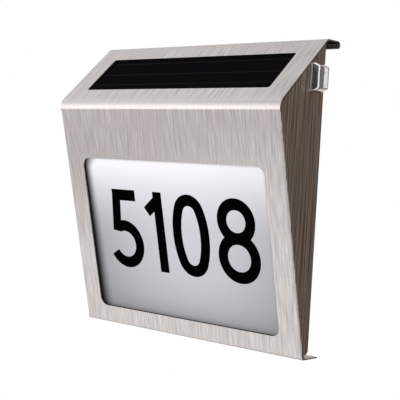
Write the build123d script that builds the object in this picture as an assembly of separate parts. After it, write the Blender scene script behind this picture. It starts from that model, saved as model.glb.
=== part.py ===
from build123d import *
import os
from math import cos, radians, sin, tan

# Solar house number light, in millimetres.
# The wall is the plane Y = 0, the light stands in front of it towards -Y, and +Z is up.
# The origin is the middle of the four screw holes in the wall bracket.

# Folded steel housing
housing_width = 190.0
housing_depth = 58.9         # wall to the front corner, where front and top panel would meet
front_drop = 153.0           # front corner down to the underside of the bottom flange
front_lean = 14.1            # degrees from upright, lower edge nearer the wall
top_rise = 42.3              # front corner up to the ledge
top_slope = 42.9             # degrees from level
sheet = 0.8
front_bend = 8.0             # outer radius of the bend from front to top
small_bend = 1.6             # outer radius of the bends at ledge and bottom flange
side_fold = 1.2              # outer radius of the folds from front to sides
lip_curl = 2.4               # outer radius of the rolled lip at the wall
lip_return = 1.2             # straight end of the rolled lip
seam_gap = 0.3               # between a side and the top it is folded up to
fold_relief = 0.8            # from the front bend to the start of the side folds
heel_depth = 5.2             # depth of a side at its foot
side_lift = 3.4              # foot of a side above the underside of the flange
toe_lift = 1.8               # foot of a side's narrow front strip above that underside
toe_depth = 2.4              # depth of that strip, from the front panel's face
side_corner = 2.4
flange_setback = 4.9         # rear edge of the bottom flange to the wall

# Openings in the housing
window_margin = 15.8         # side of the housing to side of the window
window_start = 38.5          # front corner down to the window
window_height = 106.9
window_corner = 6.2
solar_margin = 15.9          # side of the housing to side of the solar opening
solar_start = 14.3           # front corner up to the solar opening
solar_height = 34.5
solar_corner = 1.6

# Number board
board_overlap = 4.5          # board hidden behind the edge of the window
board_thickness = 2.0
board_gasket_thickness = 1.8
gasket_reveal = 0.4          # gasket set back from the edge of its opening

# Solar panel
panel_overlap = 3.6          # panel hidden behind the edge of its opening
panel_thickness = 2.2
panel_gasket_thickness = 0.6

# Lamp tray
tray_length = 140.0
tray_wall = 1.8
tray_inset = 2.8             # solar panel's edge to the tray's rim, front and rear
tray_floor_drop = 1.0        # floor's upper face below the front corner
ear_clear = 1.2              # ear's end to the inside of the side
ear_width = 10.0
ear_thickness = 2.0
ear_offset = 1.5             # tray's front rim to the ear, up the slope
stud_radius = 1.5
stud_inset = 6.5             # stud's axis to the outer face of the side
stud_spare = 1.0             # stud showing beyond its nut
nut_across_flats = 5.5
nut_thickness = 2.4
screw_play = 0.2             # radial, in a clearance hole
thread_play = 0.05           # radial, in a threaded or tapped hole
notch_width = 9.0            # for the switch leads, in the tray's right end
notch_depth = 10.0
notch_inset = 0.6            # notch to the tray's rear wall

# Circuit board and what it carries
circuit_end_gap = 6.2        # board's ends to the tray's end walls
circuit_strip = 5.6          # width beside the battery
circuit_width = 17.0         # width of the broad part
circuit_start = 2.0          # left edge of the broad part, from the middle of the light
circuit_thickness = 1.2
circuit_gap = 0.4            # board's edge to the tray's walls
standoff_height = 3.0
standoff_radius = 2.4
circuit_screw_radius = 1.0
circuit_screw_length = 4.0
circuit_head_radius = 1.9
circuit_head_height = 1.3
circuit_screw_inset = 4.0    # screw's axis to the edges of the broad part
led_count = 4
led_pitch = 34.0
led_radius = 2.5
led_length = 8.6
led_rim_radius = 2.9
led_rim_height = 1.0
led_lead_side = 0.5
led_lead_pitch = 2.54
led_lead_spare = 0.8         # lead showing above the board
led_play = 0.1
chip_length = 4.9
chip_width = 3.9
chip_height = 1.5
inductor_radius = 3.0
inductor_waist = 2.2
inductor_height = 5.5
inductor_flange = 0.9
capacitor_radius = 2.5
capacitor_height = 7.0
capacitor_dome = 0.4         # rounded upper edge of the can
part_pitch = 10.0            # between the parts on the circuit board

# Rechargeable AA cell and its contacts
cell_radius = 7.25
cell_length = 49.2
nub_radius = 2.75
nub_height = 1.3
cell_inset = 10.2            # flat end of the cell to the tray's left end wall
cell_clear = 0.6             # cell to the tray's rear wall
cell_headroom = 1.0          # cell to the solar panel's underside
saddle_play = 0.1
saddle_thickness = 2.0
saddle_width = 11.0
saddle_inset = 12.0          # end of the cell to the middle of a saddle
contact_thickness = 0.4
contact_width = 13.0
contact_height = 10.0
contact_spring = 2.6         # depth of the bowed contact
contact_crest = 3.0          # flat of the bowed contact against the cell
holder_wall = 1.8
holder_rise = 5.0            # holder's end wall above the cell's axis

# Rocker switch under its clear rain cap, on the right side
switch_forward = 35.45       # front corner back to the switch's axis
switch_up = 17.8             # front corner up to the switch's axis
bezel_width = 8.6
bezel_height = 14.4
bezel_thickness = 1.6
bezel_corner = 0.8
body_width = 7.4
body_height = 12.2
body_depth = 10.5
cutout_play = 0.15           # switch body to its cut-out in the side
well_width = 5.8
well_height = 10.8
well_depth = 6.5
barb_length = 3.0
barb_rise = 0.5
terminal_length = 6.5
terminal_width = 2.8
terminal_thickness = 0.6
terminal_pitch = 5.0
rocker_width = 5.2
rocker_half = 4.4
rocker_rise = 3.2            # middle of the rocker's face above its pin
rocker_skirt = 1.6           # underside of the rocker below its pin
rocker_tilt = 12.0           # degrees from the middle to either end of its travel
pin_radius = 0.8
pin_depth = 1.2              # pin's axis behind the outer face of the side
pin_play = 0.05
pin_end_play = 0.1
cap_width = 10.4
cap_height = 17.2
cap_rise = 5.6
cap_shoulder = 1.8           # side of the cap up to its chamfer
cap_chamfer = 2.0
cap_wall = 0.8

# Rear cover
cover_thickness = 1.6
cover_inset = 0.2            # cover's rear face to the rear edge of the sides
cover_play = 0.3             # cover to the sides
cover_gap = 0.5              # cover's upper edge to the solar panel
cover_rim = 1.6
cover_rim_thickness = 1.2
cover_rim_start = 25.0       # rim's lower end above the flange
cover_rim_stop = 8.0         # rim's upper end below the cover's upper edge
cover_screw_radius = 1.3
cover_screw_length = 8.0
cover_head_radius = 2.6
cover_head_height = 1.7
boss_radius = 3.2
boss_depth = 5.0             # boss inside the tray
boss_inset = 6.0             # boss's axis to the tray's end
boss_drop = 9.0              # boss's axis below the tray's rear rim

# Wall bracket
bracket_width = 110.0
bracket_thickness = 1.0
bracket_bend = 1.8
tongue_gap = 1.0             # tongue to the rolled lip
tongue_height = 7.0
tab_gap = 1.8                # tab to the rear cover
wall_hole_radius = 2.5
wall_hole_x = 84.0           # between hole centres
wall_hole_z = 120.0
foot_screw_spacing = 80.0
foot_screw_radius = 1.5
foot_screw_length = 6.0
foot_head_radius = 2.8
foot_head_height = 1.6

# Leads between the solar panel, the cell, the switch and the circuit board
lead_radius = 0.6
lead_bend = 2.0
lead_pitch = 4.0             # between the two leads of a pair
lead_drop = 5.0              # straight run down to the circuit board
solar_lead_inset = 9.0       # broad part's left edge to the first solar lead
switch_lead_inset = 7.0      # broad part's right edge to the first switch lead
switch_lead_out = 5.0        # straight run out of a terminal
cell_lead_out = 2.8          # run forward from a contact

# Places that follow from the sizes above
lean = radians(front_lean)
slope = radians(top_slope)
half_width = housing_width / 2
bottom_z = -(front_drop + top_rise) / 2
corner_y = -housing_depth
corner_z = bottom_z + front_drop
ledge_z = corner_z + top_rise
foot_y = corner_y + front_drop * tan(lean)
ledge_y = corner_y + top_rise / tan(slope)
flange_y = -flange_setback
flange_top = bottom_z + sheet
side_rear = foot_y + heel_depth
side_bottom = bottom_z + side_lift
toe_bottom = bottom_z + toe_lift

front_frame = Plane((0, corner_y, corner_z), x_dir=(1, 0, 0), z_dir=(0, -cos(lean), -sin(lean)))
top_frame = Plane((0, corner_y, corner_z), x_dir=(1, 0, 0), z_dir=(0, -sin(slope), cos(slope)))


def inset(points, amount):
    """Corners of an open outline in (Y, Z), moved to the right of its run by one amount."""
    runs = [(Vector(b) - Vector(a)).normalized() for a, b in zip(points, points[1:])]
    sides = [Vector(run.Y, -run.X) for run in runs]
    before = [sides[0]] + sides
    after = sides + [sides[-1]]
    moved = []
    for point, one, other in zip(points, before, after):
        moved.append(Vector(point) + (one + other) * (amount / (1 + one.dot(other))))
    return moved


def top_z(y, depth):
    """Height of the plane that lies a depth behind the top panel's outer face."""
    return corner_z + (y - corner_y) * tan(slope) - depth / cos(slope)


def on_top(up, depth):
    """Y and Z of a point up the top panel from the front corner, a depth behind its outer face."""
    return Vector(
        corner_y + up * cos(slope) + depth * sin(slope),
        corner_z + up * sin(slope) - depth * cos(slope),
    )


def front_y(z, depth):
    """Y of the plane that lies a depth behind the front panel's outer face, at a height."""
    return corner_y + (corner_z - z) * tan(lean) + depth / cos(lean)


def outline(*points):
    """Flat face from its corners in (Y, Z)."""
    return make_face(Polyline(*points, close=True))


def across(face, width, middle=0.0):
    """A face drawn in (Y, Z), run along X over a width about a middle."""
    return extrude(Plane.YZ.offset(middle) * face, width / 2, both=True)


def plate(frame, width, low, high, depth, thickness, corner=0.0):
    """Plate behind a panel: its outline in the panel's frame, and its depth behind the face."""
    size = (width, high - low)
    face = RectangleRounded(*size, corner) if corner else Rectangle(*size)
    return extrude(frame * Pos(0, (low + high) / 2, -depth) * face, -thickness)


def ring_plate(frame, width, low, high, depth, thickness, rim, corner):
    """Flat frame behind a panel, a rim wide round its opening."""
    outer = plate(frame, width + 2 * rim, low - rim, high + rim, depth, thickness)
    return outer - plate(frame, width, low, high, depth, thickness, corner)


def lead(*points):
    """Insulated wire through the given points."""
    path = FilletPolyline(*points, radius=lead_bend)
    return sweep(Plane(path @ 0, z_dir=path % 0) * Circle(lead_radius), path)


# Steel housing: one blank, folded
def sheet_strip():
    """Flange, front, top, ledge and rolled lip: the sheet's middle line, traced at its thickness."""
    corners = [(flange_y, bottom_z), (foot_y, bottom_z), (corner_y, corner_z), (ledge_y, ledge_z),
               (-lip_curl, ledge_z)]
    bends = [small_bend - sheet / 2, front_bend - sheet / 2, small_bend - sheet / 2]
    run = FilletPolyline(*inset(corners, sheet / 2), radius=bends)
    curl = JernArc(run @ 1, run % 1, lip_curl - sheet / 2, -180)
    hem = Line(curl @ 1, (curl @ 1) + (curl % 1) * lip_return)
    return across(trace([run, curl, hem], sheet), housing_width)


def side_flap():
    """Right side, turned back from the front along a rounded fold, with its switch cut-out open."""
    behind = sheet + seam_gap
    nose = inset([(foot_y, bottom_z), (corner_y, corner_z), (ledge_y, ledge_z)], behind)[1]
    heel = Vector(side_rear, side_bottom)
    face = outline((front_y(toe_bottom, behind), toe_bottom), nose,
                   (side_rear, top_z(side_rear, behind)), heel,
                   (front_y(side_bottom, toe_depth), side_bottom),
                   (front_y(toe_bottom, toe_depth), toe_bottom))
    face = fillet(face.vertices().sort_by_distance(nose)[0], front_bend - behind)
    face = fillet(face.vertices().sort_by_distance(heel)[0], side_corner)
    return across(face, sheet, half_width - sheet / 2)


fold_start = front_bend * tan((radians(90) + lean - slope) / 2) + fold_relief
fold_stop = (corner_z - toe_bottom) / cos(lean)
fold_length = fold_stop - fold_start
fold_middle = Pos(half_width - side_fold, -(fold_start + fold_stop) / 2, -side_fold)


def side_fold_bar(radius):
    """Quarter round along the front edge of the right side."""
    bar = Rot(90, 0, 0) * Cylinder(radius, fold_length)
    return bar & Pos(radius / 2, 0, radius / 2) * Box(radius, fold_length, radius)


switch_y = corner_y + switch_forward
switch_z = corner_z + switch_up
switch_place = Pos(half_width, switch_y, switch_z)
foot_screw_y = (flange_y + side_rear - cover_inset + tab_gap) / 2
foot_screws = [Pos(side * foot_screw_spacing / 2, foot_screw_y, bottom_z) for side in (-1, 1)]


def steel_housing():
    corner_bar = Pos(side_fold / 2, 0, side_fold / 2) * Box(side_fold, fold_length, side_fold)
    square = front_frame * fold_middle * corner_bar
    rounded = front_frame * fold_middle * (side_fold_bar(side_fold) - side_fold_bar(side_fold - sheet))
    flap = side_flap() - square + rounded
    housing = sheet_strip() - square - mirror(square, Plane.YZ)
    housing = housing + flap + mirror(flap, Plane.YZ)
    housing -= plate(front_frame, housing_width - 2 * window_margin, -window_start - window_height,
                     -window_start, -sheet, 3 * sheet, window_corner)
    housing -= plate(top_frame, housing_width - 2 * solar_margin, solar_start,
                     solar_start + solar_height, -sheet, 3 * sheet, solar_corner)
    cutout = Box(3 * sheet, body_width + 2 * cutout_play, body_height + 2 * cutout_play)
    housing -= switch_place * cutout
    for place in foot_screws:
        housing -= place * Cylinder(foot_screw_radius + screw_play, 3 * sheet)
    return housing


# Number board behind the window
window_width = housing_width - 2 * window_margin
window_low = -window_start - window_height


def number_board():
    return plate(front_frame, window_width + 2 * board_overlap, window_low - board_overlap,
                 -window_start + board_overlap, sheet + board_gasket_thickness, board_thickness)


def board_gasket():
    return ring_plate(front_frame, window_width + 2 * gasket_reveal, window_low - gasket_reveal,
                      -window_start + gasket_reveal, sheet, board_gasket_thickness,
                      board_overlap - gasket_reveal, window_corner)


# Solar panel behind its opening
solar_width = housing_width - 2 * solar_margin
solar_stop = solar_start + solar_height
panel_start = solar_start - panel_overlap
panel_stop = solar_stop + panel_overlap
panel_back = sheet + panel_gasket_thickness + panel_thickness
panel_heel = on_top(panel_stop, panel_back)


def solar_panel():
    return plate(top_frame, solar_width + 2 * panel_overlap, panel_start, panel_stop,
                 sheet + panel_gasket_thickness, panel_thickness)


def solar_gasket():
    return ring_plate(top_frame, solar_width + 2 * gasket_reveal, solar_start - gasket_reveal,
                      solar_stop + gasket_reveal, sheet, panel_gasket_thickness,
                      panel_overlap - gasket_reveal, solar_corner)


# Lamp tray, hung under the solar panel
tray_start = panel_start + tray_inset
tray_front = on_top(tray_start, panel_back)
tray_rear = on_top(panel_stop - tray_inset, panel_back)
floor_top = corner_z - tray_floor_drop
floor_bottom = floor_top - tray_wall
tray_inner_front = tray_front.X + tray_wall
tray_inner_rear = tray_rear.X - tray_wall
tray_end = tray_length / 2 - tray_wall
ear_reach = half_width - sheet - ear_clear

cell_start = -tray_end + cell_inset
cell_y = tray_inner_rear - cell_clear - cell_radius
cell_z = top_z(cell_y, panel_back + cell_headroom + cell_radius)
cell_stop = cell_start + cell_length + nub_height
circuit_length = 2 * (tray_end - circuit_end_gap)
circuit_front = tray_inner_front + circuit_gap
circuit_bottom = floor_top + standoff_height
circuit_top = circuit_bottom + circuit_thickness
led_y = circuit_front + circuit_strip / 2
led_places = [(index - (led_count - 1) / 2) * led_pitch for index in range(led_count)]
circuit_screw_y = circuit_front + circuit_width - circuit_screw_inset
circuit_screws = [
    Pos(circuit_start + circuit_screw_inset, circuit_screw_y, floor_top),
    Pos(circuit_length / 2 - circuit_screw_inset, circuit_screw_y, floor_top),
]
ear_low = tray_start + ear_offset
ear_stud = ear_low + ear_width / 2
studs = [top_frame * Pos(side * (half_width - stud_inset), ear_stud, 0) for side in (-1, 1)]
cover_rear = side_rear - cover_inset
cover_front = cover_rear - cover_thickness
boss_z = tray_rear.Y - boss_drop
bosses = [Pos(side * (tray_length / 2 - boss_inset), 0, boss_z) for side in (-1, 1)]
notch_middle = tray_inner_rear - notch_inset - notch_width / 2


def along_y(radius, start, stop):
    """Round bar along Y, on the axis through the origin."""
    return Pos(0, (start + stop) / 2, 0) * Rot(90, 0, 0) * Cylinder(radius, stop - start)


def upright(radius, start, stop):
    """Round bar along Z, on the axis through the origin."""
    return Pos(0, 0, (start + stop) / 2) * Cylinder(radius, stop - start)


def cell_saddle(x):
    """Rib with a round seat for the cell."""
    rib = outline((cell_y - saddle_width / 2, floor_top), (cell_y - saddle_width / 2, cell_z),
                  (cell_y + saddle_width / 2, cell_z), (cell_y + saddle_width / 2, floor_top))
    rib -= Pos(cell_y, cell_z) * Circle(cell_radius + saddle_play)
    return across(rib, saddle_thickness, x)


def holder_end(x):
    """Wall behind a battery contact, its middle at x."""
    height = cell_z + holder_rise - floor_top
    return Pos(x, cell_y, floor_top + height / 2) * Box(holder_wall, saddle_width, height)


def lamp_tray():
    shell = outline(tray_front, tray_rear, (tray_rear.X, floor_bottom), (tray_front.X, floor_bottom))
    inside = outline((tray_inner_front, floor_top), (tray_inner_front, ledge_z),
                     (tray_inner_rear, ledge_z), (tray_inner_rear, floor_top))
    tray = across(shell, tray_length) - across(inside, 2 * tray_end)
    ear = plate(top_frame, 2 * ear_reach, ear_low, ear_low + ear_width, panel_back, ear_thickness)
    tray += ear - across(inside, tray_length)
    for stud in studs:
        tray -= stud * Cylinder(stud_radius + screw_play, 4 * panel_back)
    for x in (cell_start + saddle_inset, cell_start + cell_length - saddle_inset):
        tray += cell_saddle(x)
    tray += holder_end(cell_start - contact_spring - holder_wall / 2)
    tray += holder_end(cell_stop + contact_thickness + holder_wall / 2)
    for place in circuit_screws:
        tray += place * upright(standoff_radius, 0, standoff_height)
        tray -= place * upright(circuit_screw_radius + thread_play, 0, standoff_height)
    tray += Pos(-led_pitch, led_y, floor_top) * upright(standoff_radius, 0, standoff_height)
    for x in led_places:
        tray -= Pos(x, led_y, floor_bottom) * Cylinder(led_radius + led_play, 3 * tray_wall)
    for boss in bosses:
        tray += boss * along_y(boss_radius, tray_rear.X - boss_depth, cover_front)
        tray -= boss * along_y(cover_screw_radius + thread_play, tray_rear.X - boss_depth, cover_front)
    notch_top = top_z(notch_middle + notch_width / 2, panel_back)
    notch_low = top_z(notch_middle - notch_width / 2, panel_back) - notch_depth
    notch = Box(2 * tray_wall, notch_width, notch_top - notch_low)
    return tray - Pos(tray_end + tray_wall / 2, notch_middle, (notch_top + notch_low) / 2) * notch


def tray_studs():
    length = panel_back + ear_thickness + nut_thickness + stud_spare - sheet
    return [stud * Pos(0, 0, -sheet - length / 2) * Cylinder(stud_radius, length) for stud in studs]


def tray_nuts():
    nut = RegularPolygon(nut_across_flats / 2, 6, major_radius=False) - Circle(stud_radius + thread_play)
    depth = panel_back + ear_thickness
    return [extrude(stud * Pos(0, 0, -depth) * nut, -nut_thickness) for stud in studs]


# Circuit board, lamps and driver
def circuit_board():
    half = circuit_length / 2
    rear = circuit_front + circuit_width
    face = make_face(Polyline((-half, circuit_front), (half, circuit_front), (half, rear),
                              (circuit_start, rear), (circuit_start, circuit_front + circuit_strip),
                              (-half, circuit_front + circuit_strip), close=True))
    board = extrude(Pos(0, 0, circuit_bottom) * face, circuit_thickness)
    for place in circuit_screws:
        board -= place * upright(circuit_screw_radius + screw_play, standoff_height,
                                 standoff_height + circuit_thickness)
    for x in led_places:
        for side in (-1, 1):
            board -= Pos(x + side * led_lead_pitch / 2, led_y, circuit_bottom) * led_lead(led_play)
    return board


def led_lead(play=0.0):
    """Square lead of a lamp, up from its rim through the circuit board."""
    side = led_lead_side + 2 * play
    low = floor_top + led_rim_height - circuit_bottom
    high = circuit_thickness + led_lead_spare
    return Pos(0, 0, (low + high) / 2) * Box(side, side, high - low)


def led_lamps():
    lamps = []
    for x in led_places:
        place = Pos(x, led_y, floor_top)
        barrel = led_length - led_rim_height - led_radius
        lamp = upright(led_rim_radius, 0, led_rim_height) + upright(led_radius, -barrel, 0)
        lamp += Pos(0, 0, -barrel) * Sphere(led_radius)
        lamp = place * lamp
        for side in (-1, 1):
            lamp += Pos(x + side * led_lead_pitch / 2, led_y, circuit_bottom) * led_lead()
        lamps.append(lamp)
    return lamps


def pan_screw(radius, length, head_radius, head_height):
    """Screw along -Z with its head seated on the plane Z = 0 and its head's edge rounded."""
    head = upright(head_radius, 0, head_height)
    head = fillet(head.edges().sort_by(Axis.Z)[-1], head_height / 2)
    return head + upright(radius, -length, 0)


def circuit_screw_set():
    screw = pan_screw(circuit_screw_radius, circuit_screw_length, circuit_head_radius,
                      circuit_head_height)
    return [place * Pos(0, 0, standoff_height + circuit_thickness) * screw for place in circuit_screws]


parts_y = circuit_front + circuit_strip + circuit_width / 4
parts_x = (circuit_start + circuit_length / 2) / 2


def driver_chip():
    return Pos(parts_x - part_pitch, parts_y, circuit_top + chip_height / 2) * Box(
        chip_length, chip_width, chip_height)


def boost_inductor():
    """Drum core between two flanges."""
    drum = upright(inductor_waist, 0, inductor_height) + upright(inductor_radius, 0, inductor_flange)
    drum += upright(inductor_radius, inductor_height - inductor_flange, inductor_height)
    return Pos(parts_x, parts_y, circuit_top) * drum


def buffer_capacitor():
    can = upright(capacitor_radius, 0, capacitor_height)
    can = fillet(can.edges().sort_by(Axis.Z)[-1], capacitor_dome)
    return Pos(parts_x + part_pitch, parts_y, circuit_top) * can


# Battery and contacts
def along_x(radius, start, stop):
    """Round bar along X, on the cell's axis."""
    return Pos((start + stop) / 2, cell_y, cell_z) * Rot(0, 90, 0) * Cylinder(radius, stop - start)


def battery_cell():
    can_stop = cell_start + cell_length
    return along_x(cell_radius, cell_start, can_stop) + along_x(nub_radius, can_stop, cell_stop)


def battery_contact_negative():
    """Spring strip, bowed towards the flat end of the cell."""
    half = contact_height / 2
    wall = cell_start - contact_spring + contact_thickness / 2
    crest = cell_start - contact_thickness / 2
    line = Polyline((wall, -half), (wall, -half + contact_crest / 2), (crest, -contact_crest / 2),
                    (crest, contact_crest / 2), (wall, half - contact_crest / 2), (wall, half))
    strip = Plane.XZ * Pos(0, cell_z) * trace(line, contact_thickness)
    return Pos(0, cell_y, 0) * extrude(strip, contact_width / 2, both=True)


def battery_contact_positive():
    return Pos(cell_stop + contact_thickness / 2, cell_y, cell_z) * Box(
        contact_thickness, contact_width, contact_height)


# Rocker switch
def switch_box(start, stop, width, height, corner=0.0):
    """Block along X on the switch's axis, measured from the outer face of the side."""
    face = RectangleRounded(width, height, corner) if corner else Rectangle(width, height)
    return switch_place * extrude(Plane.YZ.offset(start) * face, stop - start)


rocker_axis = switch_place * Pos(-pin_depth, 0, 0)
pin_reach = body_width / 2 - pin_end_play


def switch_body():
    body = switch_box(-body_depth, 0, body_width, body_height)
    body += switch_box(0, bezel_thickness, bezel_width, bezel_height, bezel_corner)
    catch = body_height / 2
    barb = make_face(Polyline((-sheet, catch), (-sheet, catch + barb_rise),
                              (-sheet - barb_length, catch), close=True))
    barb = switch_place * extrude(Plane.XZ * barb, well_width / 2, both=True)
    body += barb + mirror(barb, Plane.XY.offset(switch_z))
    body -= switch_box(-well_depth, bezel_thickness, well_width, well_height)
    return body - rocker_axis * along_y(pin_radius + pin_play, -body_width / 2, body_width / 2)


def switch_rocker():
    """Two-way rocker on its cross pin, at rest with the lower half pressed in."""
    rise = rocker_rise + rocker_half * tan(radians(rocker_tilt))
    face = make_face(Polyline((rocker_rise, 0), (rise, rocker_half), (-rocker_skirt, rocker_half),
                              (-rocker_skirt, -rocker_half), (rise, -rocker_half), close=True))
    rocker = extrude(Plane.XZ * face, rocker_width / 2, both=True)
    rocker += along_y(pin_radius, -pin_reach, pin_reach)
    return rocker_axis * Rot(0, rocker_tilt, 0) * rocker


def switch_terminals():
    blade = Box(terminal_length, terminal_width, terminal_thickness)
    start = -body_depth - terminal_length / 2
    return [switch_place * Pos(start, 0, side * terminal_pitch / 2) * blade for side in (-1, 1)]


def cap_block(shrink):
    """Cap's outer form with chamfered upper and lower edges, or its hollow when shrunk."""
    half = cap_height / 2 - shrink
    top = cap_rise - shrink
    shoulder = cap_shoulder - shrink / 2
    face = make_face(Polyline((0, -half), (shoulder, -half), (top, -half + cap_chamfer),
                              (top, half - cap_chamfer), (shoulder, half), (0, half), close=True))
    return extrude(Plane.XZ * face, cap_width / 2 - shrink, both=True)


def switch_rain_cap():
    return switch_place * (cap_block(0.0) - cap_block(cap_wall))


# Rear cover
def rear_cover():
    cover_top = panel_heel.Y - cover_gap
    half = half_width - sheet - cover_play
    height = cover_top - flange_top
    middle = Pos(0, (cover_front + cover_rear) / 2, (cover_top + flange_top) / 2)
    cover = middle * Box(2 * half, cover_thickness, height)
    rim_low = flange_top + cover_rim_start
    rim_high = cover_top - cover_rim_stop
    rim = Box(cover_rim_thickness, cover_rim, rim_high - rim_low)
    for side in (-1, 1):
        x = side * (half - cover_rim_thickness / 2)
        cover += Pos(x, cover_front - cover_rim / 2, (rim_high + rim_low) / 2) * rim
    for boss in bosses:
        cover -= boss * along_y(cover_screw_radius + screw_play, cover_front, cover_rear)
    return cover


def rear_cover_screws():
    screw = pan_screw(cover_screw_radius, cover_screw_length, cover_head_radius, cover_head_height)
    return [boss * Pos(0, cover_rear, 0) * Rot(-90, 0, 0) * screw for boss in bosses]


# Wall bracket
def wall_bracket():
    """Folded plate: a tab over the flange, the plate on the wall, and a tongue up behind the lip."""
    tongue_y = -2 * lip_curl + sheet - lip_return - tongue_gap
    tongue_top = ledge_z - sheet
    step_top = tongue_top - tongue_height
    tab_y = cover_rear + tab_gap
    corners = [(tab_y, flange_top), (0, flange_top), (0, step_top + tongue_y), (tongue_y, step_top),
               (tongue_y, tongue_top)]
    middle = inset(corners, -bracket_thickness / 2)
    bend = bracket_bend - bracket_thickness / 2
    line = FilletPolyline(*middle, radius=[bend, bend, bend])
    bracket = across(trace(line, bracket_thickness), bracket_width)
    for x in (-1, 1):
        for z in (-1, 1):
            hole = along_y(wall_hole_radius, -2 * bracket_thickness, bracket_thickness)
            bracket -= Pos(x * wall_hole_x / 2, 0, z * wall_hole_z / 2) * hole
    for place in foot_screws:
        bracket -= place * Cylinder(foot_screw_radius + thread_play, 4 * (sheet + bracket_thickness))
    return bracket


def bottom_screws():
    screw = pan_screw(foot_screw_radius, foot_screw_length, foot_head_radius, foot_head_height)
    return [place * Rot(180, 0, 0) * screw for place in foot_screws]


# Leads
def solar_leads():
    wires = []
    for step in (0, 1):
        x = circuit_start + solar_lead_inset + step * lead_pitch
        pad = on_top((solar_start + solar_stop) / 2, panel_back)
        below = on_top((solar_start + solar_stop) / 2, panel_back + lead_drop)
        wires.append(lead((x, pad.X, pad.Y), (x, below.X, below.Y),
                          (x, parts_y, circuit_top + lead_drop), (x, parts_y, circuit_top)))
    return wires


def switch_leads():
    wires = []
    for step in (0, 1):
        z = switch_z + (step - 0.5) * terminal_pitch
        start = half_width - body_depth - terminal_length
        x = circuit_length / 2 - switch_lead_inset - step * lead_pitch
        wires.append(lead((start, switch_y, z), (start - switch_lead_out, switch_y, z),
                          (x, parts_y, circuit_top + lead_drop), (x, parts_y, circuit_top)))
    return wires


def cell_leads():
    wires = []
    z = cell_z - contact_height / 4
    y = cell_y - contact_width / 2
    for x in (cell_start - contact_spring + contact_thickness / 2, cell_stop + contact_thickness / 2):
        wires.append(lead((x, y, z), (x, y - cell_lead_out, z), (x, y - cell_lead_out, circuit_top)))
    return wires


pieces = {
    "steel_housing": steel_housing(),
    "number_board": number_board(),
    "board_gasket": board_gasket(),
    "solar_panel": solar_panel(),
    "solar_gasket": solar_gasket(),
    "lamp_tray": lamp_tray(),
    "tray_studs": tray_studs(),
    "tray_nuts": tray_nuts(),
    "circuit_board": circuit_board(),
    "circuit_screws": circuit_screw_set(),
    "led_lamps": led_lamps(),
    "driver_chip": driver_chip(),
    "boost_inductor": boost_inductor(),
    "buffer_capacitor": buffer_capacitor(),
    "battery_cell": battery_cell(),
    "battery_contact_negative": battery_contact_negative(),
    "battery_contact_positive": battery_contact_positive(),
    "switch_body": switch_body(),
    "switch_rocker": switch_rocker(),
    "switch_terminals": switch_terminals(),
    "switch_rain_cap": switch_rain_cap(),
    "rear_cover": rear_cover(),
    "rear_cover_screws": rear_cover_screws(),
    "wall_bracket": wall_bracket(),
    "bottom_screws": bottom_screws(),
    "solar_leads": solar_leads(),
    "switch_leads": switch_leads(),
    "cell_leads": cell_leads(),
}

os.makedirs("parts", exist_ok=True)
for name, piece in pieces.items():
    shape = Compound(children=piece) if isinstance(piece, list) else piece
    export_step(shape, f"parts/{name}.step")
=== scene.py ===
# %% [markdown]
# # A solar house number light
# The light is a box folded from one sheet of brushed steel. A solar panel sits in its sloping top, a
# translucent board in its leaning front carries black stick-on figures, and a small rocker switch
# hides under a clear cap on its right side. The construction comes ready from CAD. This lesson makes
# what CAD leaves plain: soft bends, clear plastic, figures, screw heads and the finish of every surface.

# %% Load the construction
from contextlib import contextmanager
from math import cos, pi, radians, sin, tan

import bmesh
import bpy
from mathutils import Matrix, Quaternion, Vector


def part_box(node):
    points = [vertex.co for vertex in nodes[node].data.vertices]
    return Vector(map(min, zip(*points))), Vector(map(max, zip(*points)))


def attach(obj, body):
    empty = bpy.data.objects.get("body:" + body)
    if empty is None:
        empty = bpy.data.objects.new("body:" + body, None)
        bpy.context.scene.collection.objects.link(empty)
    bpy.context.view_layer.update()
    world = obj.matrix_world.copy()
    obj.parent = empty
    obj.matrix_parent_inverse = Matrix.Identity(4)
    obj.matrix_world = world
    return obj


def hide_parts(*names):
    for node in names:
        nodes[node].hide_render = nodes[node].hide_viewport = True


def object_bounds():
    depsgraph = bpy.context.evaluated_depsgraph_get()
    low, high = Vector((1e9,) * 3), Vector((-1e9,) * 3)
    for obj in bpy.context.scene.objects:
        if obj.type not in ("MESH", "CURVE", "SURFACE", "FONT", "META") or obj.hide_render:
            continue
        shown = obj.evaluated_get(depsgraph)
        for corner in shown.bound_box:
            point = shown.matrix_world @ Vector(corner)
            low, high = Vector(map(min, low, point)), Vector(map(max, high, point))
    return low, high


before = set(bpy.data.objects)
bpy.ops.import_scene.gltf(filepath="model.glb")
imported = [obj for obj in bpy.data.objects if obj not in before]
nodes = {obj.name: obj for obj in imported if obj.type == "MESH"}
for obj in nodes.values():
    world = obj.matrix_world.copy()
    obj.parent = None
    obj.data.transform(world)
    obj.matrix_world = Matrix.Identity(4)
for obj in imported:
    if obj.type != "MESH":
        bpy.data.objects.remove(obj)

cad_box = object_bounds()
mm = 0.001
print("nodes", len(nodes), "box in mm", [round(side / mm, 1) for side in cad_box[1] - cad_box[0]])

# %% [markdown]
# ## The camera
# The picture was taken from the right, a little above the middle, with a long lens that was held
# slightly askew. A long lens far away keeps the edges nearly parallel, so the distance and the focal
# length have to be right together. The camera looks at a point right of the front's middle, which puts
# the light where the picture has it, and is then rolled.

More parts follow.
